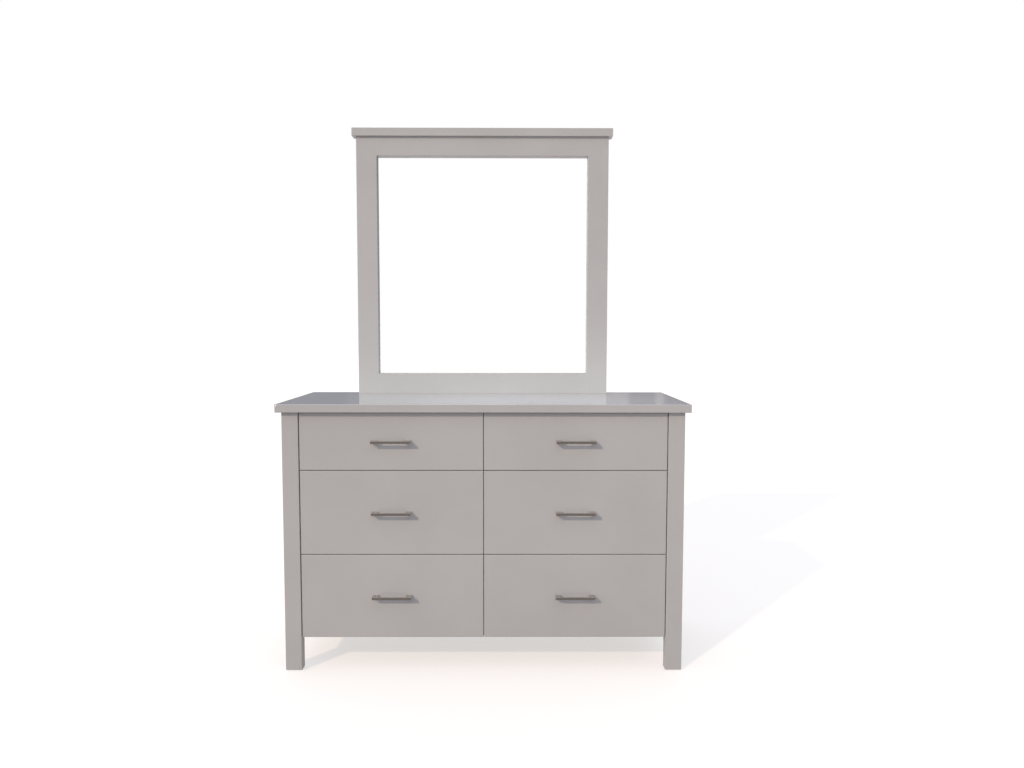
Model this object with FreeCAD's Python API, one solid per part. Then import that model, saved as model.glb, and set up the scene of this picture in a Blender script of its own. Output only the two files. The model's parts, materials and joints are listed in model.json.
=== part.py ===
import FreeCAD, Part
import os
from FreeCAD import Vector

# Six-drawer dresser with a framed mirror standing on its top. Millimetres, +Z up, drawers open towards -Y.
# Origin: on the floor, at the middle of the whole outline.

# ---- Sizes: case ----
top_width = 1200.0
top_thickness = 24.0
top_overhang = 15.0         # past the posts, at the front and at both sides
case_depth = 417.0          # front of the front posts to back of the rear posts
post_width = 48.0
post_depth = 32.0
leg_clearance = 100.0       # floor to the underside of the lowest drawers
glide_height = 2.0
glide_radius = 11.0
glide_round = 0.5
panel_thickness = 16.0
panel_inset = 6.0           # side panels lie this far inside the posts' outer faces
panel_groove = 8.0          # depth of the grooves that hold the side panels
back_thickness = 6.0
back_rebate = 8.0           # width of the rebates that hold the back panel
divider_thickness = 18.0
rail_thickness = 18.0
rail_depth = 50.0
rear_rail_height = 60.0
rear_rail_thickness = 18.0
packer_height = 70.0

# ---- Sizes: drawers ----
lower_front_height = 247.4
top_front_height = 169.0
front_thickness = 18.0
front_gap = 1.4             # round every drawer front
front_round = 2.5           # eased edges of the drawer fronts
front_recess = 3.0          # drawer fronts lie this far behind the posts' faces
rail_setback = 2.0          # closed drawer fronts to the rails behind them
board_thickness = 12.0      # sides, sub-front and back of a drawer box
base_thickness = 6.0
base_rise = 8.0             # underside of the base above the box's lower edge
base_groove = 6.0
box_rear_gap = 17.0         # closed drawer boxes to the rear rails
box_floor_gap = 6.0         # box above the rail below it
box_head_gap = 25.0         # box below the rail above it

# ---- Sizes: three-member drawer runners ----
runner_height = 45.0
runner_thickness = 12.7     # case to drawer box
runner_end_gap = 3.0        # end of the runner to the back of the drawer box
runner_rise = 40.0          # middle of the runner above the box's lower edge
member_sheet = 1.2          # thickness of the rolled steel
ball_gap = 3.3              # room for the balls between two members' flanges
web_gap = 1.4               # between the webs of nested members
case_member_depth = 10.0
middle_member_depth = 8.6
middle_member_setback = 5.0
runner_screw_bite = 7.0     # into the packer, the divider or the drawer box
runner_screw_edge = 40.0    # ends of the runner to its screws

# ---- Sizes: handles ----
handle_length = 115.0
handle_height = 7.5
handle_thickness = 4.5      # of the flat bar between its legs
handle_projection = 24.5
handle_leg_width = 17.0
handle_hole_spacing = 96.0
handle_edge_round = 0.8     # all the bar's outer edges
handle_screw_depth = 12.0   # how far a screw enters its leg

# ---- Sizes: mirror ----
mirror_width = 836.0
mirror_shift = -14.5        # mirror's middle from the case's middle
stile_width = 68.0
bottom_rail_height = 68.0
top_rail_height = 63.0
opening_height = 720.5
frame_thickness = 36.0
crown_thickness = 26.5
crown_side_overhang = 13.0
crown_front_overhang = 9.0
glass_reveal = 18.0         # frame's front face to the glass
glass_thickness = 4.0
backing_thickness = 6.0
rebate_width = 10.0
glass_clearance = 2.0       # glass to the walls of its rebate
tenon_length = 25.0
tenon_thickness = 10.0
tenon_shoulder = 10.0
batten_width = 50.0
batten_thickness = 18.0
batten_reach = 208.0        # below the underside of the top panel
batten_stop = 16.0          # below the crown
notch_clearance = 0.5       # top panel round each batten

# ---- Sizes: fixings and edges ----
screw_radius = 2.0
screw_head_radius = 4.0
screw_head_height = 2.5
low_head_height = 1.0       # screws in the runners, which the next member slides past
top_screw_count = 4         # through the top front rail
top_screw_bite = 18.0       # into the top panel
top_screw_edge = 80.0       # outer top screws to the posts
batten_case_screws = 2
batten_frame_screws = 3
batten_screw_bite = 14.0    # into the rail or the stile
batten_screw_edge = 15.0    # outer screws to the edge of the rail
frame_screw_edge = 60.0     # outer screws to the ends of the stretch along the stile
bracket_leg = 25.0
bracket_width = 30.0
bracket_sheet = 2.0
bracket_screw_offset = 15.0
bracket_screw_bite = 12.0
rear_bracket_x = 250.0
painted_round = 1.5         # eased edges of the other painted boards
top_round = 2.0             # eased edges of the top panel
cut_past = 5.0              # cutters run this far past the faces they open
same_plane = 0.001          # an edge this near to a plane lies on it

up = Vector(0, 0, 1)
forwards = Vector(0, -1, 0)
sides = {"left": -1, "right": 1}

# ---- Places worked out from the sizes ----
front_reach = max(top_overhang, handle_projection - front_recess)
face_y = (front_reach - case_depth - batten_thickness) / 2      # front faces of the posts
case_back_y = face_y + case_depth
back_y = case_back_y + batten_thickness                         # back edge of the top panel
front_y = face_y + front_recess                                 # faces of the drawer fronts
box_y = front_y + front_thickness
rail_y = box_y + rail_setback
front_post_back_y = face_y + post_depth
rear_post_front_y = case_back_y - post_depth
back_panel_y = case_back_y - back_thickness
rear_rail_y = back_panel_y - rear_rail_thickness
box_back_y = rear_rail_y - box_rear_gap
runner_length = box_back_y - runner_end_gap - rail_y

post_x = top_width / 2 - top_overhang                           # outer faces of the posts
bay_x = post_x - post_width                                     # inner faces of the posts
panel_out_x = post_x - panel_inset
panel_in_x = panel_out_x - panel_thickness
divider_x = divider_thickness / 2

rows = ["bottom", "middle", "top"]
front_heights = [lower_front_height, lower_front_height, top_front_height]
front_z = [leg_clearance]
for height in front_heights[:-1]:
    front_z.append(front_z[-1] + height + front_gap)
underside_z = front_z[-1] + front_heights[-1] + front_gap       # underside of the top panel
top_z = underside_z + top_thickness
drawer_rail_z = [z - front_gap / 2 - rail_thickness / 2 for z in front_z[1:]]
rail_z = [leg_clearance] + drawer_rail_z + [underside_z - rail_thickness]
box_low_z = [z + rail_thickness + box_floor_gap for z in rail_z[:-1]]
box_high_z = [z - box_head_gap for z in rail_z[1:]]
runner_z = [z + runner_rise for z in box_low_z]

opening_x = mirror_width / 2 - stile_width                      # half the mirror's opening
batten_x = (mirror_width - stile_width) / 2                     # stile and batten from the mirror's middle
frame_y = case_back_y - frame_thickness
glass_y = frame_y + glass_reveal
backing_y = glass_y + glass_thickness
bead_y = backing_y + backing_thickness
opening_low_z = top_z + bottom_rail_height
opening_high_z = opening_low_z + opening_height
crown_z = opening_high_z + top_rail_height
batten_low_z = underside_z - batten_reach


def block(x0, x1, y0, y1, z0, z1):
    """Box between two corners, given in any order along each axis."""
    low = Vector(min(x0, x1), min(y0, y1), min(z0, z1))
    return Part.makeBox(abs(x1 - x0), abs(y1 - y0), abs(z1 - z0), low)


def block_between(p, q):
    return block(p.x, q.x, p.y, q.y, p.z, q.z)


def cut(shape, *tools):
    """One solid less the tools that cross it."""
    return shape.cut(list(tools)).Solids[0]


def eased(shape, radius, *names):
    """Rounds every edge that lies on one of the named sides of the shape's own box."""
    box = shape.BoundBox
    lies_on = {
        "left": lambda b: b.XMax < box.XMin + same_plane,
        "right": lambda b: b.XMin > box.XMax - same_plane,
        "front": lambda b: b.YMax < box.YMin + same_plane,
        "back": lambda b: b.YMin > box.YMax - same_plane,
        "top": lambda b: b.ZMin > box.ZMax - same_plane,
        "bottom": lambda b: b.ZMax < box.ZMin + same_plane,
    }
    edges = [e for e in shape.Edges if any(lies_on[name](e.BoundBox) for name in names)]
    return shape.makeFillet(radius, edges)


def spread(low, high, count):
    """Evenly spaced values from low to high."""
    return [low + (high - low) * i / (count - 1) for i in range(count)]


def sunk_screw(point, direction, length):
    """Countersunk wood screw whose head lies flush at the point."""
    head = Part.makeCone(screw_head_radius, screw_radius, screw_head_height, point, direction)
    shank = Part.makeCylinder(screw_radius, length, point, direction)
    return head.fuse(shank).Solids[0]


def pan_screw(point, direction, length, head_height=screw_head_height):
    """Screw whose round head stands on the face at the point."""
    head = Part.makeCylinder(screw_head_radius, head_height, point - direction * head_height, direction)
    shank = Part.makeCylinder(screw_radius, length, point, direction)
    return head.fuse(shank).Solids[0]


def save(node, *solids):
    shape = solids[0] if len(solids) == 1 else Part.makeCompound(list(solids))
    shape.exportStep("parts/" + node + ".step")


# ---- Case ----
def side_panel(side):
    y0 = front_post_back_y - panel_groove
    y1 = rear_post_front_y + panel_groove
    return block(side * panel_in_x, side * panel_out_x, y0, y1, leg_clearance, underside_z)


def post(side, y0, outer_side, *tools):
    shape = block(side * bay_x, side * post_x, y0, y0 + post_depth, glide_height, underside_z)
    return cut(eased(shape, painted_round, outer_side), *tools)


def front_rail(x0, x1, z, posts):
    """Rail behind the drawer fronts, notched round the front posts."""
    return cut(block(x0, x1, rail_y, rail_y + rail_depth, z, z + rail_thickness), *posts)


def rear_rail(z):
    return block(-bay_x, bay_x, rear_rail_y, back_panel_y, z, z + rear_rail_height)


def packer(side, z):
    """Block that brings a runner out from the side panel to the post's inner face."""
    z0 = z - packer_height / 2
    return block(side * bay_x, side * panel_in_x, front_post_back_y, rear_post_front_y, z0, z0 + packer_height)


def glide(side, post_y):
    centre = Vector(side * (bay_x + post_width / 2), post_y + post_depth / 2, 0)
    return eased(Part.makeCylinder(glide_radius, glide_height, centre), glide_round, "bottom")


def top_bracket(corner, inward):
    """Angle bracket in the corner between a wall and the top panel, with its two screws."""
    half_width = inward.cross(up) * (bracket_width / 2)
    under = block_between(corner - half_width, corner + half_width + inward * bracket_leg - up * bracket_sheet)
    wall = block_between(corner - half_width, corner + half_width + inward * bracket_sheet - up * bracket_leg)
    length = bracket_sheet + bracket_screw_bite
    screws = [
        pan_screw(corner + inward * bracket_screw_offset - up * bracket_sheet, up, length),
        pan_screw(corner + inward * bracket_sheet - up * bracket_screw_offset, -inward, length),
    ]
    return cut(under.fuse(wall).removeSplitter(), *screws), screws


def top_panel(*tools):
    panel = block(-top_width / 2, top_width / 2, face_y - top_overhang, back_y, underside_z, top_z)
    notch_x = batten_width / 2 + notch_clearance
    notches = []
    for side in sides.values():
        x = mirror_shift + side * batten_x
        notches.append(block(x - notch_x, x + notch_x, case_back_y, back_y + cut_past,
                             underside_z - cut_past, top_z + cut_past))
    return cut(eased(panel, top_round, "front", "back", "left", "right"), *notches, *tools)


# ---- Runners ----
def channel(face_x, inward, u0, u1, half_height, z, y0, length, opens_inward):
    """C-shaped steel member; u is measured from the case's face towards the drawer box."""
    def part_of(ua, ub, za, zb):
        return block(face_x + inward * ua, face_x + inward * ub, y0, y0 + length, z + za, z + zb)
    hollow_u0 = u0 + member_sheet if opens_inward else u0 - cut_past
    hollow_u1 = u1 + cut_past if opens_inward else u1 - member_sheet
    hollow_half = half_height - member_sheet
    outside = part_of(u0, u1, -half_height, half_height)
    return cut(outside, part_of(hollow_u0, hollow_u1, -hollow_half, hollow_half))


def runner_screws(web_x, direction, z):
    """Two screws through the web of a member, with their heads inside it."""
    return [pan_screw(Vector(web_x, y, z), direction, member_sheet + runner_screw_bite, low_head_height)
            for y in (rail_y + runner_screw_edge, rail_y + runner_length - runner_screw_edge)]


def runner(face_x, inward, z):
    """The members of one runner, and the screws that hold the case member and the drawer member."""
    case_half = runner_height / 2
    middle_half = case_half - member_sheet - ball_gap
    drawer_half = middle_half - member_sheet - ball_gap
    middle_u = member_sheet + web_gap
    drawer_u = middle_u + member_sheet + web_gap
    middle_length = runner_length - 2 * middle_member_setback
    case_member = channel(face_x, inward, 0, case_member_depth, case_half, z, rail_y, runner_length, True)
    middle_member = channel(face_x, inward, middle_u, middle_u + middle_member_depth, middle_half, z,
                            rail_y + middle_member_setback, middle_length, True)
    drawer_member = channel(face_x, inward, drawer_u, runner_thickness, drawer_half, z,
                            rail_y, runner_length, False)
    into_box = Vector(inward, 0, 0)
    into_case = runner_screws(face_x + inward * member_sheet, -into_box, z)
    into_drawer = runner_screws(face_x + inward * (runner_thickness - member_sheet), into_box, z)
    return {
        "case": [cut(case_member, *into_case)],
        "middle": [middle_member],
        "drawer": [cut(drawer_member, *into_drawer)],
        "case screws": into_case,
        "drawer screws": into_drawer,
    }


# ---- Drawers ----
def drawer_box(x0, x1, z0, z1, screws):
    """Two sides, a sub-front and a back, grooved for the base."""
    inner_x0 = x0 + board_thickness
    inner_x1 = x1 - board_thickness
    inner_y0 = box_y + board_thickness
    inner_y1 = box_back_y - board_thickness
    base_z = z0 + base_rise
    base = block(inner_x0 - base_groove, inner_x1 + base_groove, inner_y0 - base_groove, inner_y1 + base_groove,
                 base_z, base_z + base_thickness)
    boards = [
        block(x0, inner_x0, box_y, box_back_y, z0, z1),
        block(inner_x1, x1, box_y, box_back_y, z0, z1),
        block(inner_x0, inner_x1, box_y, inner_y0, z0, z1),
        block(inner_x0, inner_x1, inner_y1, box_back_y, z0, z1),
    ]
    return [cut(board, base, *screws) for board in boards] + [base]


def handle(x, z):
    """Flat bar with two wide legs, in one piece, and the two screws that hold it from inside the box."""
    half = handle_length / 2
    low_z = z - handle_height / 2
    finger_x = half - handle_leg_width
    bar = eased(block(x - half, x + half, front_y - handle_projection, front_y, low_z, low_z + handle_height),
                handle_edge_round, "front", "back", "left", "right")
    gap = block(x - finger_x, x + finger_x, front_y - handle_projection + handle_thickness, front_y + cut_past,
                low_z - cut_past, low_z + handle_height + cut_past)
    screw_y = box_y + board_thickness
    length = screw_y - front_y + handle_screw_depth
    screws = [pan_screw(Vector(x + side * handle_hole_spacing / 2, screw_y, z), forwards, length)
              for side in sides.values()]
    return cut(bar, gap, *screws), screws


def drawer(column, row):
    """Saves one drawer with the moving members of its runners; gives back their case members and screws."""
    side = sides[column]
    name = rows[row] + "_" + column
    x0, x1 = sorted([side * front_gap / 2, side * (bay_x - front_gap)])
    z0, z1 = front_z[row], front_z[row] + front_heights[row]
    pull, screws = handle((x0 + x1) / 2, (z0 + z1) / 2)
    front = cut(eased(block(x0, x1, front_y, box_y, z0, z1), front_round, "front"), *screws)
    outer = runner(side * bay_x, -side, runner_z[row])
    inner = runner(side * divider_x, side, runner_z[row])
    pair = {part: outer[part] + inner[part] for part in outer}
    box_x0, box_x1 = sorted([side * (divider_x + runner_thickness), side * (bay_x - runner_thickness)])
    box = drawer_box(box_x0, box_x1, box_low_z[row], box_high_z[row], screws + pair["drawer screws"])
    save(name + "_drawer_front", front)
    save(name + "_drawer_box", *box)
    save(name + "_handle", pull, *screws)
    save(name + "_middle_runners", *pair["middle"])
    save(name + "_drawer_runners", *pair["drawer"], *pair["drawer screws"])
    return pair["case"], pair["case screws"]


# ---- Mirror ----
def mirror_block(x0, x1, y0, y1, z0, z1):
    """Box whose x is measured from the mirror's own middle."""
    return block(mirror_shift + x0, mirror_shift + x1, y0, y1, z0, z1)


def tenon(side, z0, z1):
    y0 = frame_y + (glass_reveal - tenon_thickness) / 2
    return mirror_block(side * opening_x, side * (opening_x + tenon_length), y0, y0 + tenon_thickness,
                        z0 + tenon_shoulder, z1 - tenon_shoulder)


def whole_frame():
    """Frame round the opening, over length, with edges eased on across the joints of its stiles and rails."""
    half = mirror_width / 2
    frame = mirror_block(-half, half, frame_y, case_back_y, top_z - cut_past, crown_z + cut_past)
    opening = mirror_block(-opening_x, opening_x, frame_y - cut_past, case_back_y + cut_past,
                           opening_low_z, opening_high_z)
    return eased(cut(frame, opening), painted_round, "front", "left", "right")


def mirror_rail(frame, z0, z1, rebate, tenons):
    rail = frame.common(mirror_block(-opening_x, opening_x, frame_y, case_back_y, z0, z1)).Solids[0]
    return cut(rail, rebate).fuse(tenons).removeSplitter().Solids[0]


def batten_screws(side):
    x = mirror_shift + side * batten_x
    case_heights = spread(underside_z - rear_rail_height + batten_screw_edge, underside_z - batten_screw_edge,
                          batten_case_screws)
    frame_heights = spread(top_z + frame_screw_edge, crown_z - batten_stop - frame_screw_edge,
                           batten_frame_screws)
    case_length = batten_thickness + back_thickness + batten_screw_bite
    frame_length = batten_thickness + batten_screw_bite
    return ([sunk_screw(Vector(x, back_y, z), forwards, case_length) for z in case_heights]
            + [sunk_screw(Vector(x, back_y, z), forwards, frame_length) for z in frame_heights])


def mirror(screws):
    rebate_x = opening_x + rebate_width
    rebate = mirror_block(-rebate_x, rebate_x, glass_y, case_back_y + cut_past,
                          opening_low_z - rebate_width, opening_high_z + rebate_width)
    low_tenons = [tenon(side, top_z, opening_low_z) for side in sides.values()]
    high_tenons = [tenon(side, opening_high_z, crown_z) for side in sides.values()]
    frame = whole_frame()
    save("mirror_bottom_rail", mirror_rail(frame, top_z, opening_low_z, rebate, low_tenons))
    save("mirror_top_rail", mirror_rail(frame, opening_high_z, crown_z, rebate, high_tenons))
    battens = []
    for column, side in sides.items():
        half = mirror_block(side * opening_x, side * mirror_width / 2, frame_y, case_back_y, top_z, crown_z)
        stile = cut(frame.common(half).Solids[0], rebate, *low_tenons, *high_tenons, *screws)
        save("mirror_" + column + "_stile", stile)
        batten = mirror_block(side * batten_x - batten_width / 2, side * batten_x + batten_width / 2,
                              case_back_y, back_y, batten_low_z, crown_z - batten_stop)
        battens.append(cut(batten, *screws))
    save("mirror_battens", *battens)
    crown_x = mirror_width / 2 + crown_side_overhang
    crown = mirror_block(-crown_x, crown_x, frame_y - crown_front_overhang, case_back_y,
                         crown_z, crown_z + crown_thickness)
    save("mirror_crown", eased(crown, painted_round, "front", "left", "right"))
    glass_x = rebate_x - glass_clearance
    glass_z = rebate_width - glass_clearance
    save("mirror_glass", mirror_block(-glass_x, glass_x, glass_y, backing_y,
                                      opening_low_z - glass_z, opening_high_z + glass_z))
    save("mirror_backing", mirror_block(-glass_x, glass_x, backing_y, bead_y,
                                        opening_low_z - glass_z, opening_high_z + glass_z))
    save("glazing_beads",
         mirror_block(-rebate_x, rebate_x, bead_y, case_back_y, opening_low_z - rebate_width, opening_low_z),
         mirror_block(-rebate_x, rebate_x, bead_y, case_back_y, opening_high_z, opening_high_z + rebate_width),
         mirror_block(-rebate_x, -opening_x, bead_y, case_back_y, opening_low_z, opening_high_z),
         mirror_block(opening_x, rebate_x, bead_y, case_back_y, opening_low_z, opening_high_z))


# ---- Build ----
os.makedirs("parts", exist_ok=True)

panels = {column: side_panel(side) for column, side in sides.items()}
back_x = bay_x + back_rebate
back_panel = block(-back_x, back_x, back_panel_y, case_back_y, leg_clearance, underside_z)
front_posts = {column: post(side, face_y, "front", panels[column]) for column, side in sides.items()}
rear_posts = {column: post(side, rear_post_front_y, "back", panels[column], back_panel)
              for column, side in sides.items()}

back_screws = batten_screws(sides["left"]) + batten_screws(sides["right"])
top_screw_x = bay_x - top_screw_edge
top_screws = [sunk_screw(Vector(x, rail_y + rail_depth / 2, rail_z[-1]), up, rail_thickness + top_screw_bite)
              for x in spread(-top_screw_x, top_screw_x, top_screw_count)]
middle_y = (front_post_back_y + rear_post_front_y) / 2
bracket_corners = [(Vector(side * panel_in_x, middle_y, underside_z), Vector(-side, 0, 0))
                   for side in sides.values()]
bracket_corners += [(Vector(side * rear_bracket_x, rear_rail_y, underside_z), forwards)
                    for side in sides.values()]
brackets = []
bracket_screws = []
for corner, inward in bracket_corners:
    bracket, pair = top_bracket(corner, inward)
    brackets.append(bracket)
    bracket_screws += pair
case_screws = top_screws + bracket_screws + back_screws

posts = list(front_posts.values())
full_rails = [front_rail(-panel_in_x, panel_in_x, z, posts) for z in (rail_z[0], rail_z[-1])]
drawer_rails = [front_rail(side * divider_x, side * panel_in_x, z, posts)
                for z in drawer_rail_z for side in sides.values()]

case_members = []
case_member_screws = []
for column in sides:
    for row in range(len(rows)):
        members, screws = drawer(column, row)
        case_members += members
        case_member_screws += screws
divider = block(-divider_x, divider_x, rail_y, rear_rail_y, leg_clearance, underside_z)

save("top_panel", top_panel(*case_screws))
for column in sides:
    save("front_" + column + "_post", front_posts[column])
    save("rear_" + column + "_post", rear_posts[column])
    save(column + "_side_panel", cut(panels[column], *bracket_screws))
save("back_panel", cut(back_panel, *back_screws))
save("centre_divider", cut(divider, *full_rails, *case_member_screws))
save("bottom_front_rail", full_rails[0])
save("top_front_rail", cut(full_rails[1], *top_screws))
save("drawer_rails", *drawer_rails)
save("rear_rails", rear_rail(leg_clearance), cut(rear_rail(underside_z - rear_rail_height), *case_screws))
save("runner_packers", *[cut(packer(side, z), *case_member_screws) for side in sides.values() for z in runner_z])
save("case_runners", *case_members)
save("foot_glides", *[glide(side, y) for side in sides.values() for y in (face_y, rear_post_front_y)])
save("top_brackets", *brackets)
save("case_screws", *case_screws, *case_member_screws)
mirror(back_screws)
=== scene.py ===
import bpy
import json
import math
from mathutils import Matrix, Vector


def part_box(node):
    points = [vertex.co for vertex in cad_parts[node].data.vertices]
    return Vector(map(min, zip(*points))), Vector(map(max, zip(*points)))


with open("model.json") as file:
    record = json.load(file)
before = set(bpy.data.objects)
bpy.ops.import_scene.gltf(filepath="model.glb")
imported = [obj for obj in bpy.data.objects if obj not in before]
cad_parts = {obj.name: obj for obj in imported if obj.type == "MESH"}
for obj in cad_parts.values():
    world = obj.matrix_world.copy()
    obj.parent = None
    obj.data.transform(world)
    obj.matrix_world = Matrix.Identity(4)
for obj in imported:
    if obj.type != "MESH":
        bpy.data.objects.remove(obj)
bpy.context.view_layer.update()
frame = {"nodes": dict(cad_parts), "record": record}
nodes = frame["nodes"]
slotOf = {part["node"]: part["material_slot"] for part in frame["record"]["subparts"]}
mm = 0.001
noiseSpan = {"From Min": 0.3, "From Max": 0.7}  # where nearly all of a noise texture's values lie
bevelSamples = 6  # enough for arrises without grain


def linear(hexColour):
    channels = [int(hexColour[i:i + 2], 16) / 255 for i in (1, 3, 5)]
    return [c / 12.92 if c <= 0.04045 else ((c + 0.055) / 1.055) ** 2.4 for c in channels] + [1.0]


def add(tree, kind, settings=None, inputs=None):  # a node; each input is a plain value or a socket to link
    node = tree.nodes.new(kind)
    for name, value in (settings or {}).items():
        setattr(node, name, value)
    for name, value in (inputs or {}).items():
        if isinstance(value, bpy.types.NodeSocket):
            tree.links.new(value, node.inputs[name])
        else:
            node.inputs[name].default_value = value
    return node


def newMaterial(name):
    material = bpy.data.materials.new(name)
    material.use_nodes = True
    material.node_tree.nodes.clear()
    return material, material.node_tree


def patternPlace(tree, sizes):  # object coordinates in units of a pattern's real size along each axis, in mm
    coords = add(tree, "ShaderNodeTexCoord")
    return add(tree, "ShaderNodeVectorMath", {"operation": "MULTIPLY"},
               {0: coords.outputs["Object"], 1: [1 / (size * mm) for size in sizes]}).outputs[0]


def arrises(tree, radius, fullyTurned):  # rises from 0 to 1 where a rounded normal turns away from the true one
    rounded = add(tree, "ShaderNodeBevel", {"samples": bevelSamples}, {"Radius": radius * mm})
    flat = add(tree, "ShaderNodeNewGeometry")
    agreement = add(tree, "ShaderNodeVectorMath", {"operation": "DOT_PRODUCT"},
                    {0: rounded.outputs["Normal"], 1: flat.outputs["Normal"]})
    return add(tree, "ShaderNodeMapRange", {}, {"Value": agreement.outputs["Value"], "From Min": 1.0,
                                                "From Max": fullyTurned}).outputs["Result"]


# Polyurethane lacquer sprayed on MDF and left satin: an even warm grey, whose sheen is slightly broken by orange
# peel, with a film that drifts a little in tone and is thin and pale on the arrises, paler still as a painted
# highlight.
lacquer = {
    "colour": "#b3b0ae",
    "drift": "#adaaa8",
    "thinFilmAndHighlight": "#c0bdbb",
    "driftSize": 260,
    "sheenDrift": 0.1,     # share by which the roughness drifts up and down
    "peelSize": 5.0,       # real orange peel is about 1.5 mm across, too fine to show
    "satin": {"roughness": 0.38, "peelDepth": 0.04},
    "polished": {"roughness": 0.08, "peelDepth": 0.008},  # peel rubbed down to a gloss
    # The arrises are painted paler: partly thin film, partly a painted highlight where the eased edges catch light.
    "edgeRadius": 1.5,
    "edgeTurned": 0.9,     # cosine of the turn at which the film is at its thinnest
    "edgeThinningAndHighlight": 0.35,
    "ior": 1.5,
}


def sprayedLacquer(name, gloss):
    material, tree = newMaterial(name)
    drift = add(tree, "ShaderNodeTexNoise", {}, {"Vector": patternPlace(tree, [lacquer["driftSize"]] * 3), "Scale": 1,
                                                 "Detail": 3})
    share = add(tree, "ShaderNodeMapRange", {}, {"Value": drift.outputs["Fac"], **noiseSpan})
    body = add(tree, "ShaderNodeMix", {"data_type": "RGBA"},
               {0: share.outputs["Result"], 6: linear(lacquer["colour"]), 7: linear(lacquer["drift"])})
    # Painted highlight and thin film: the arrises are mixed towards the paler colour.
    paleArrisesFilmAndHighlight = add(tree, "ShaderNodeMath", {"operation": "MULTIPLY"},
                {0: arrises(tree, lacquer["edgeRadius"], lacquer["edgeTurned"]), 1: lacquer["edgeThinningAndHighlight"]})
    colour = add(tree, "ShaderNodeMix", {"data_type": "RGBA"},
                 {0: paleArrisesFilmAndHighlight.outputs[0], 6: body.outputs[2], 7: linear(lacquer["thinFilmAndHighlight"])})
    peel = add(tree, "ShaderNodeTexNoise", {}, {"Vector": patternPlace(tree, [lacquer["peelSize"]] * 3), "Scale": 1,
                                                "Detail": 1})
    bump = add(tree, "ShaderNodeBump", {}, {"Height": peel.outputs["Fac"], "Distance": gloss["peelDepth"] * mm})
    sheen = add(tree, "ShaderNodeMapRange", {},
                {"Value": drift.outputs["Fac"], **noiseSpan, "To Min": gloss["roughness"] * (1 - lacquer["sheenDrift"]),
                 "To Max": gloss["roughness"] * (1 + lacquer["sheenDrift"])})
    shader = add(tree, "ShaderNodeBsdfPrincipled", {},
                 {"Base Color": colour.outputs[2], "Roughness": sheen.outputs["Result"], "IOR": lacquer["ior"],
                  "Normal": bump.outputs["Normal"]})
    add(tree, "ShaderNodeOutputMaterial", {}, {"Surface": shader.outputs[0]})
    return material


# Pine, planed and unpainted: pale yellow with long darker growth lines and a dull, slightly furry surface.
pine = {
    "early": "#dfc79f",
    "late": "#c59f6b",
    "lateSpan": {"From Min": 0.35, "From Max": 0.65},  # of the noise, over which early wood turns to late
    "ringSize": 9,
    "boardLength": 700,
    "fibreSize": 1.6,      # real fibres are far finer, too fine to show
    "fibreLength": 70,
    "furDepth": 0.05,
    "roughness": 0.6,
}


def grainPlace(tree, size, length, grainAxis, uprightHeights):  # drawn out along the grain
    sizes = [size] * 3
    sizes[grainAxis] = length
    if not uprightHeights:
        return patternPlace(tree, sizes)
    low, high = uprightHeights
    coords = add(tree, "ShaderNodeTexCoord")
    height = add(tree, "ShaderNodeSeparateXYZ", {}, {0: coords.outputs["Object"]})
    stands = add(tree, "ShaderNodeMath", {"operation": "COMPARE"},
                 {0: height.outputs["Z"], 1: (low + high) / 2, 2: (high - low) / 2})
    return add(tree, "ShaderNodeMix", {"data_type": "VECTOR"},
               {0: stands.outputs[0], 4: patternPlace(tree, sizes), 5: patternPlace(tree, [size, size, length])}
               ).outputs[1]


def planedPine(name, grainAxis, uprightHeights=None):  # the grain stands upright between the two heights
    material, tree = newMaterial(name)
    ringPlace = grainPlace(tree, pine["ringSize"], pine["boardLength"], grainAxis, uprightHeights)
    rings = add(tree, "ShaderNodeTexNoise", {}, {"Vector": ringPlace, "Scale": 1, "Detail": 3})
    share = add(tree, "ShaderNodeMapRange", {}, {"Value": rings.outputs["Fac"], **pine["lateSpan"]})
    body = add(tree, "ShaderNodeMix", {"data_type": "RGBA"},
               {0: share.outputs["Result"], 6: linear(pine["early"]), 7: linear(pine["late"])})
    fibrePlace = grainPlace(tree, pine["fibreSize"], pine["fibreLength"], grainAxis, uprightHeights)
    fibres = add(tree, "ShaderNodeTexNoise", {}, {"Vector": fibrePlace, "Scale": 1, "Detail": 2})
    bump = add(tree, "ShaderNodeBump", {}, {"Height": fibres.outputs["Fac"], "Distance": pine["furDepth"] * mm})
    shader = add(tree, "ShaderNodeBsdfPrincipled", {},
                 {"Base Color": body.outputs[2], "Roughness": pine["roughness"], "Normal": bump.outputs["Normal"]})
    add(tree, "ShaderNodeOutputMaterial", {}, {"Surface": shader.outputs[0]})
    return material


# Birch plywood, sanded and clear sealed: pale and close grained, with a soft figure and a low sheen.
birch = {
    "light": "#e8d5b2",
    "dark": "#cfb48a",
    "darkSpan": {"From Min": 0.35, "From Max": 0.65},  # of the noise, over which light figure turns to dark
    "figureSize": 22,
    "figureLength": 90,
    "grainLength": 420,
    "poreSize": 1.5,       # real pores are about 0.1 mm wide, too fine to show
    "poreLength": 52.5,
    "poreDepth": 0.03,
    "roughness": 0.5,
}


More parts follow.
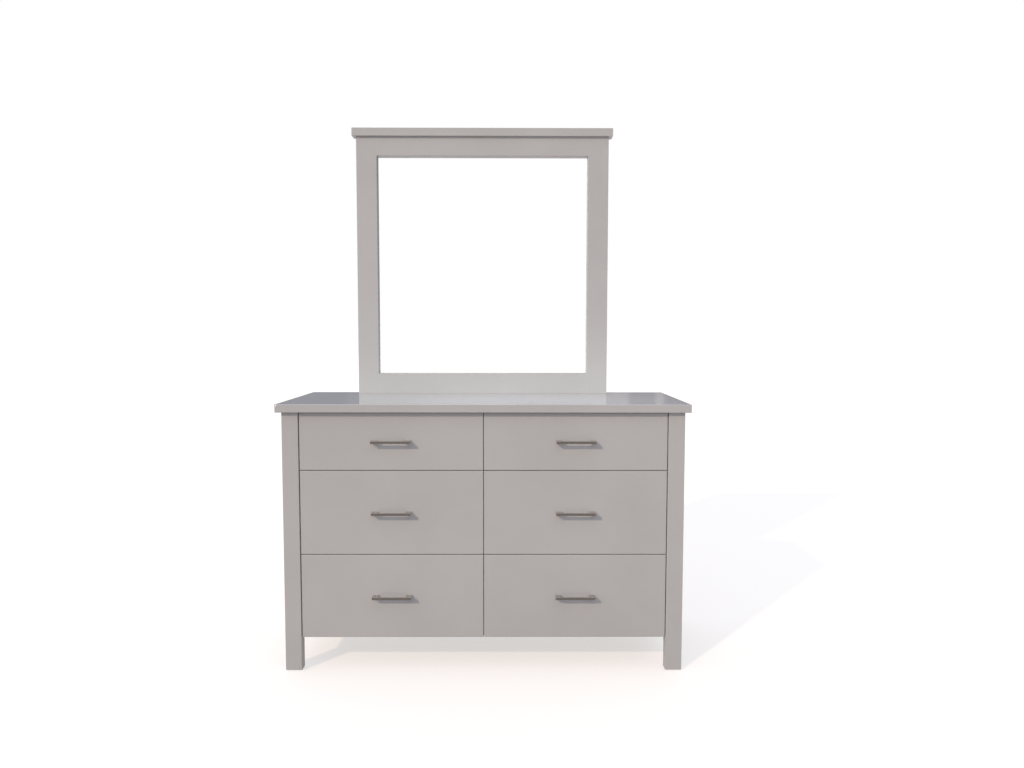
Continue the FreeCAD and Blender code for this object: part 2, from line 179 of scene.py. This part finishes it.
def sealedBirch(name):
    material, tree = newMaterial(name)
    figurePlace = patternPlace(tree, [birch["grainLength"], birch["figureLength"], birch["figureSize"]])
    figure = add(tree, "ShaderNodeTexNoise", {}, {"Vector": figurePlace, "Scale": 1, "Detail": 4})
    share = add(tree, "ShaderNodeMapRange", {}, {"Value": figure.outputs["Fac"], **birch["darkSpan"]})
    body = add(tree, "ShaderNodeMix", {"data_type": "RGBA"},
               {0: share.outputs["Result"], 6: linear(birch["light"]), 7: linear(birch["dark"])})
    porePlace = patternPlace(tree, [birch["poreLength"], birch["poreLength"], birch["poreSize"]])
    pores = add(tree, "ShaderNodeTexNoise", {}, {"Vector": porePlace, "Scale": 1, "Detail": 2})
    bump = add(tree, "ShaderNodeBump", {}, {"Height": pores.outputs["Fac"], "Distance": birch["poreDepth"] * mm})
    shader = add(tree, "ShaderNodeBsdfPrincipled", {},
                 {"Base Color": body.outputs[2], "Roughness": birch["roughness"], "Normal": bump.outputs["Normal"]})
    add(tree, "ShaderNodeOutputMaterial", {}, {"Surface": shader.outputs[0]})
    return material


# Hardboard, pressed from wood fibre: brown and smooth, with a fine dark fleck.
hardboard = {
    "fibre": "#8c6c4d",
    "fleck": "#71543b",
    "fleckSpan": {"From Min": 0.4, "From Max": 0.65},  # of the noise, over which fibre turns to fleck
    "fleckSize": 3.0,
    "fleckCrispness": 0.7,  # share of the noise's strength that passes on to each finer layer
    "roughness": 0.55,
}


def pressedHardboard(name):
    material, tree = newMaterial(name)
    fleckPlace = patternPlace(tree, [hardboard["fleckSize"]] * 3)
    flecks = add(tree, "ShaderNodeTexNoise", {}, {"Vector": fleckPlace, "Scale": 1, "Detail": 4,
                                                  "Roughness": hardboard["fleckCrispness"]})
    share = add(tree, "ShaderNodeMapRange", {}, {"Value": flecks.outputs["Fac"], **hardboard["fleckSpan"]})
    body = add(tree, "ShaderNodeMix", {"data_type": "RGBA"},
               {0: share.outputs["Result"], 6: linear(hardboard["fibre"]), 7: linear(hardboard["fleck"])})
    shader = add(tree, "ShaderNodeBsdfPrincipled", {},
                 {"Base Color": body.outputs[2], "Roughness": hardboard["roughness"]})
    add(tree, "ShaderNodeOutputMaterial", {}, {"Surface": shader.outputs[0]})
    return material


# Float glass, silvered: reflects nearly everything, with only the faintest haze.
silvering = {
    "colour": "#ffffff",
    "hazeSize": 150,
    "hazeSpan": {"From Min": 0.5, "From Max": 0.8},    # of the noise, over which clear glass turns to haze
    "haze": 0.006,
}


def silveredGlass(name):
    material, tree = newMaterial(name)
    cloud = add(tree, "ShaderNodeTexNoise", {}, {"Vector": patternPlace(tree, [silvering["hazeSize"]] * 3), "Scale": 1})
    haze = add(tree, "ShaderNodeMapRange", {}, {"Value": cloud.outputs["Fac"], **silvering["hazeSpan"],
                                                "To Max": silvering["haze"]})
    shader = add(tree, "ShaderNodeBsdfPrincipled", {},
                 {"Base Color": linear(silvering["colour"]), "Metallic": 1.0, "Roughness": haze.outputs["Result"]})
    add(tree, "ShaderNodeOutputMaterial", {}, {"Surface": shader.outputs[0]})
    return material


# Nickel plate, brushed along the bar, with highlights drawn out across the brush lines: its own bright colour on most
# faces, and dark and warm in front, as painted shade for the dark surroundings that the front faces would reflect.
nickel = {"brushed": "#66615e", "bright": "#d2ccc6", "lineSize": 0.6, "lineLength": 40, "roughness": 0.26}
# Steel, rolled and zinc plated: cool, pale and even, with a faint streak along the roll, and painted shade on its front
# faces, which are a little darker.
zinc = {"brushed": "#a7abae", "bright": "#c3c6c8", "lineSize": 4.0, "lineLength": 120, "roughness": 0.36}
plate = {
    "frontShadeSpan": {"From Min": -0.9, "From Max": -0.6},  # of the normal's Y, over which front faces turn to others
    "sideShare": 0.9,         # share of the bright colour on those others
    "streak": 0.06,        # by which that share and the roughness go up and down from line to line
    "lineDepth": 0.01,
}


def brushedPlate(name, metal, lineAxis):
    material, tree = newMaterial(name)
    sizes = [metal["lineSize"]] * 3
    sizes[lineAxis] = metal["lineLength"]
    lines = add(tree, "ShaderNodeTexNoise", {}, {"Vector": patternPlace(tree, sizes), "Scale": 1, "Detail": 3})
    flat = add(tree, "ShaderNodeNewGeometry")
    facing = add(tree, "ShaderNodeSeparateXYZ", {}, {0: flat.outputs["Normal"]})
    # Painted shade: faces turned to the front take the dark colour, and the others mostly take the metal's own bright
    # one.
    turned = add(tree, "ShaderNodeMapRange", {}, {"Value": facing.outputs["Y"], **plate["frontShadeSpan"],
                                                  "To Max": plate["sideShare"]})
    streak = add(tree, "ShaderNodeMapRange", {}, {"Value": lines.outputs["Fac"], **noiseSpan,
                                                  "To Min": -plate["streak"], "To Max": plate["streak"]})
    share = add(tree, "ShaderNodeMath", {"operation": "ADD", "use_clamp": True},
                {0: turned.outputs["Result"], 1: streak.outputs["Result"]})
    body = add(tree, "ShaderNodeMix", {"data_type": "RGBA"},
               {0: share.outputs[0], 6: linear(metal["brushed"]), 7: linear(metal["bright"])})
    sheen = add(tree, "ShaderNodeMath", {"operation": "ADD"}, {0: streak.outputs["Result"], 1: metal["roughness"]})
    bump = add(tree, "ShaderNodeBump", {}, {"Height": lines.outputs["Fac"], "Distance": plate["lineDepth"] * mm})
    shader = add(tree, "ShaderNodeBsdfPrincipled", {},
                 {"Base Color": body.outputs[2], "Metallic": 1.0, "Roughness": sheen.outputs[0],
                  "Normal": bump.outputs["Normal"]})
    add(tree, "ShaderNodeOutputMaterial", {}, {"Surface": shader.outputs[0]})
    return material


# Nylon, moulded: near black and slightly waxy.
nylon = {"colour": "#27272b", "grainSize": 1.0, "roughness": 0.45, "sheenDrift": 0.1, "ior": 1.53}


def mouldedNylon(name):
    material, tree = newMaterial(name)
    grain = add(tree, "ShaderNodeTexNoise", {}, {"Vector": patternPlace(tree, [nylon["grainSize"]] * 3), "Scale": 1})
    sheen = add(tree, "ShaderNodeMapRange", {},
                {"Value": grain.outputs["Fac"], **noiseSpan, "To Min": nylon["roughness"] * (1 - nylon["sheenDrift"]),
                 "To Max": nylon["roughness"] * (1 + nylon["sheenDrift"])})
    shader = add(tree, "ShaderNodeBsdfPrincipled", {},
                 {"Base Color": linear(nylon["colour"]), "Roughness": sheen.outputs["Result"], "IOR": nylon["ior"]})
    add(tree, "ShaderNodeOutputMaterial", {}, {"Surface": shader.outputs[0]})
    return material


openingHeights = (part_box("mirror_bottom_rail")[1].z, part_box("mirror_top_rail")[0].z)  # where beads stand upright
pineDeep = planedPine("planedPineDeep", 1)
ownFinish = {  # of nodes whose finish isn't that of the rest of their slot
    "top_panel": sprayedLacquer("polishedLacqueredMdf", lacquer["polished"]),  # mirrors what stands on it
    "glazing_beads": planedPine("planedPineBeads", 0, openingHeights),
    "mirror_battens": planedPine("planedPineUpright", 2),
    "runner_packers": pineDeep,
    "centre_divider": pineDeep,
}
finishes = {
    "painted_mdf": sprayedLacquer("satinLacqueredMdf", lacquer["satin"]),
    "pine": planedPine("planedPineAcross", 0),
    "birch_plywood": sealedBirch("sealedBirchPlywood"),
    "hardboard": pressedHardboard("pressedHardboard"),
    "mirror_glass": silveredGlass("silveredFloatGlass"),
    "brushed_nickel": brushedPlate("brushedNickelPlate", nickel, 0),
    "zinc_plated_steel": brushedPlate("zincPlatedRolledSteel", zinc, 1),
    "nylon": mouldedNylon("mouldedNylon"),
}
for name, node in nodes.items():
    node.data.materials.clear()
    node.data.materials.append(ownFinish.get(name, finishes[slotOf[name]]))
print("finishes given to", len(nodes), "nodes")


# Studio: plain pale floor, plain fill that is brighter from above and behind, white wherever nothing stands.
studio = {
    "floorSize": 60.0,
    "floorColour": "#b8aca5",
    "floorWhite": 0.58,          # floor's own light, for rays that see it directly
    "skyColour": "#dfeeff",
    "fillLevel": 0.58,           # at the horizon
    "fillAbove": 1.26,
    "behindColour": "#fff6ec",
    "fillBehind": 1.0,           # added straight behind, less and less with height
    "fillTilt": 0.12,            # added at the far left and taken off at the far right
    "farHeight": 0.3,            # up to which the far side shows in polished faces, as a share of straight up
    "farBlend": 0.005,           # width of the edge between two of its bands, as a share of straight right
    "emptyColour": "#ffffff",    # seen wherever nothing stands
}
# What stands at the far side, as bands from left to right: each begins at a share of straight right. The near side is
# the same to the right, where a second polished face shows it, and bright to the left, where the lamp is.
farBands = [
    {"from": -1.0, "colour": "#7b7d86"},   # dark wall
    {"from": -0.205, "colour": "#85878e"},
    {"from": 0.1, "colour": "#a7a4a7"},    # pale wall beside a dark opening
    {"from": 0.1515, "colour": "#8a888e"},
    {"from": 0.184, "colour": "#a9a6a6"},  # its pale post
    {"from": 0.195, "colour": "#85828a"},
]


oneBounce = 0.5  # ray depths are whole numbers: one bounce lies above this, and two above the next
twoBounces = 1.5


def seenDirectly(tree):  # 1 for camera, glossy and transmitted rays, unless they carry light to a dull surface
    path = add(tree, "ShaderNodeLightPath")
    first = add(tree, "ShaderNodeMath", {"operation": "MAXIMUM"},
                {0: path.outputs["Is Camera Ray"], 1: path.outputs["Is Glossy Ray"]})
    seen = add(tree, "ShaderNodeMath", {"operation": "MAXIMUM"},
               {0: first.outputs[0], 1: path.outputs["Is Transmission Ray"]})
    unscattered = add(tree, "ShaderNodeMath", {"operation": "LESS_THAN"},
                      {0: path.outputs["Diffuse Depth"], 1: oneBounce})
    return add(tree, "ShaderNodeMath", {"operation": "MULTIPLY"},
               {0: seen.outputs[0], 1: unscattered.outputs[0]}).outputs[0]


def makeFloor():
    half = studio["floorSize"] / 2
    mesh = bpy.data.meshes.new("floor")
    mesh.from_pydata([(-half, -half, 0), (half, -half, 0), (half, half, 0), (-half, half, 0)], [], [(0, 1, 2, 3)])
    floor = bpy.data.objects.new("floor", mesh)
    bpy.context.scene.collection.objects.link(floor)
    material, tree = newMaterial("paleFloor")
    lit = add(tree, "ShaderNodeBsdfDiffuse", {}, {"Color": linear(studio["floorColour"])})
    ownLight = add(tree, "ShaderNodeMath", {"operation": "MULTIPLY"}, {0: seenDirectly(tree), 1: studio["floorWhite"]})
    glow = add(tree, "ShaderNodeEmission", {}, {"Strength": ownLight.outputs[0]})
    both = add(tree, "ShaderNodeAddShader", {}, {0: lit.outputs[0], 1: glow.outputs[0]})
    add(tree, "ShaderNodeOutputMaterial", {}, {"Surface": both.outputs[0]})
    mesh.materials.append(material)


def makeWorld():
    world = bpy.data.worlds.new("studio")
    world.use_nodes = True
    tree = world.node_tree
    tree.nodes.clear()
    coords = add(tree, "ShaderNodeTexCoord")
    direction = add(tree, "ShaderNodeSeparateXYZ", {}, {0: coords.outputs["Generated"]})
    level = add(tree, "ShaderNodeMapRange", {}, {"Value": direction.outputs["Z"], "To Min": studio["fillLevel"],
                                                 "To Max": studio["fillAbove"]})
    rear = add(tree, "ShaderNodeMath", {"operation": "MAXIMUM"}, {0: direction.outputs["Y"], 1: 0.0})
    tilted = add(tree, "ShaderNodeMath", {"operation": "MULTIPLY_ADD"},
                 {0: direction.outputs["X"], 1: -studio["fillTilt"], 2: level.outputs["Result"]})
    sky = add(tree, "ShaderNodeBackground", {}, {"Color": linear(studio["skyColour"]), "Strength": tilted.outputs[0]})
    lowness = add(tree, "ShaderNodeMapRange", {}, {"Value": direction.outputs["Z"], "To Min": studio["fillBehind"],
                                                   "To Max": 0.0})
    raised = add(tree, "ShaderNodeMath", {"operation": "MULTIPLY"}, {0: rear.outputs[0], 1: lowness.outputs["Result"]})
    fromBehind = add(tree, "ShaderNodeBackground", {}, {"Color": linear(studio["behindColour"]),
                                                        "Strength": raised.outputs[0]})
    fill = add(tree, "ShaderNodeAddShader", {}, {0: sky.outputs[0], 1: fromBehind.outputs[0]})
    path = add(tree, "ShaderNodeLightPath")
    behind = add(tree, "ShaderNodeMath", {"operation": "GREATER_THAN"}, {0: direction.outputs["Y"], 1: 0.0})
    low = add(tree, "ShaderNodeMath", {"operation": "LESS_THAN"},
              {0: direction.outputs["Z"], 1: studio["farHeight"]})
    farSide = add(tree, "ShaderNodeMath", {"operation": "MULTIPLY"}, {0: behind.outputs[0], 1: low.outputs[0]})
    twice = add(tree, "ShaderNodeMath", {"operation": "GREATER_THAN"},
                {0: path.outputs["Glossy Depth"], 1: twoBounces})
    rightwards = add(tree, "ShaderNodeMath", {"operation": "GREATER_THAN"}, {0: direction.outputs["X"], 1: 0.0})
    nearSide = add(tree, "ShaderNodeMath", {"operation": "MULTIPLY"}, {0: twice.outputs[0], 1: rightwards.outputs[0]})
    eitherSide = add(tree, "ShaderNodeMath", {"operation": "MAXIMUM"}, {0: farSide.outputs[0], 1: nearSide.outputs[0]})
    mirrored = add(tree, "ShaderNodeMath", {"operation": "MULTIPLY"},
                   {0: eitherSide.outputs[0], 1: path.outputs["Is Glossy Ray"]})
    empty, far = linear(studio["emptyColour"]), linear(farBands[0]["colour"])
    for band in farBands[1:]:
        begun = add(tree, "ShaderNodeMapRange", {}, {"Value": direction.outputs["X"], "From Min": band["from"],
                                                     "From Max": band["from"] + studio["farBlend"]})
        far = add(tree, "ShaderNodeMix", {"data_type": "RGBA"},
                  {0: begun.outputs["Result"], 6: far, 7: linear(band["colour"])}).outputs[2]
    shown = add(tree, "ShaderNodeMix", {"data_type": "RGBA"}, {0: mirrored.outputs[0], 6: empty, 7: far})
    plain = add(tree, "ShaderNodeBackground", {}, {"Color": shown.outputs[2], "Strength": 1.0})
    either = add(tree, "ShaderNodeMixShader", {}, {0: seenDirectly(tree), 1: fill.outputs[0], 2: plain.outputs[0]})
    add(tree, "ShaderNodeOutputWorld", {}, {"Surface": either.outputs[0]})
    bpy.context.scene.world = world


# Key lamp, warm, from the upper left in front.
keyLamp = {"direction": (18.5, 22.0, -17.0), "strength": 1.76, "angle": 2.5, "colour": (1.0, 0.83, 0.67)}


def makeKeyLamp():
    light = bpy.data.lights.new("key", "SUN")
    light.energy = keyLamp["strength"]
    light.angle = math.radians(keyLamp["angle"])
    light.color = keyLamp["colour"]
    lamp = bpy.data.objects.new("key", light)
    lamp.rotation_euler = Vector(keyLamp["direction"]).to_track_quat("-Z", "Y").to_euler()
    bpy.context.scene.collection.objects.link(lamp)


# Two soft cards of light: one lies on the top and stands in for what its polish throws up at the frame, the other
# hangs over it and stands in for the key lamp's light that the mirror throws down. The rear edge of each is set from
# the front of the mirror's frame, and its height from the top.
cards = [
    {"name": "thrownUp", "radiance": 0.7, "width": 1160, "depth": 200, "x": 0, "clear": 0.5, "height": 0.3,
     "turn": 180, "spread": 180, "colour": (0.9, 0.95, 1.0)},
    {"name": "thrownDown", "radiance": 0.77, "width": 760, "depth": 240, "x": 90, "clear": 145, "height": 300,
     "turn": 0, "spread": 110, "colour": (0.74, 0.86, 1.0)},
]


def makeCards():
    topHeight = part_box("top_panel")[1].z
    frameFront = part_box("mirror_bottom_rail")[0].y
    for card in cards:
        light = bpy.data.lights.new(card["name"], "AREA")
        light.shape = "RECTANGLE"
        light.size = card["width"] * mm
        light.size_y = card["depth"] * mm
        light.energy = card["radiance"] * math.pi * light.size * light.size_y
        light.spread = math.radians(card["spread"])
        light.color = card["colour"]
        lamp = bpy.data.objects.new(card["name"], light)
        lamp.location = (card["x"] * mm, frameFront - (card["clear"] + card["depth"] / 2) * mm,
                         topHeight + card["height"] * mm)
        lamp.rotation_euler = (math.radians(card["turn"]), 0, 0)
        lamp.visible_camera = False
        lamp.visible_glossy = False
        bpy.context.scene.collection.objects.link(lamp)


# Camera: distances in mm from the middle of the front posts' faces, angles in degrees.
view = {"x": 71.2, "y": -2232.8, "z": 1003.5, "pitch": 3.931, "yaw": 0.2851, "roll": 0.0679, "focalPixels": 775.6,
        "imageWidth": 1024, "sensor": 36.0}


def makeCamera():
    pitch, yaw, roll = (math.radians(view[name]) for name in ("pitch", "yaw", "roll"))
    ahead = Vector((math.sin(yaw) * math.cos(pitch), math.cos(yaw) * math.cos(pitch), -math.sin(pitch)))
    levelRight = Vector((math.cos(yaw), -math.sin(yaw), 0))
    levelUp = levelRight.cross(ahead)
    right = levelRight * math.cos(roll) + levelUp * math.sin(roll)
    rotation = Matrix((right, right.cross(ahead), -ahead)).transposed().to_4x4()
    data = bpy.data.cameras.new("camera")
    data.sensor_width = view["sensor"]
    data.lens = view["focalPixels"] / view["imageWidth"] * view["sensor"]
    camera = bpy.data.objects.new("camera", data)
    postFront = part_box("front_left_post")[0].y
    place = Vector((view["x"] * mm, postFront + view["y"] * mm, view["z"] * mm))
    camera.matrix_world = Matrix.Translation(place) @ rotation
    bpy.context.scene.collection.objects.link(camera)
    bpy.context.scene.camera = camera


makeFloor()
makeWorld()
makeKeyLamp()
makeCards()
makeCamera()
bpy.context.scene.view_settings.view_transform = "Standard"
print("studio and camera ready")
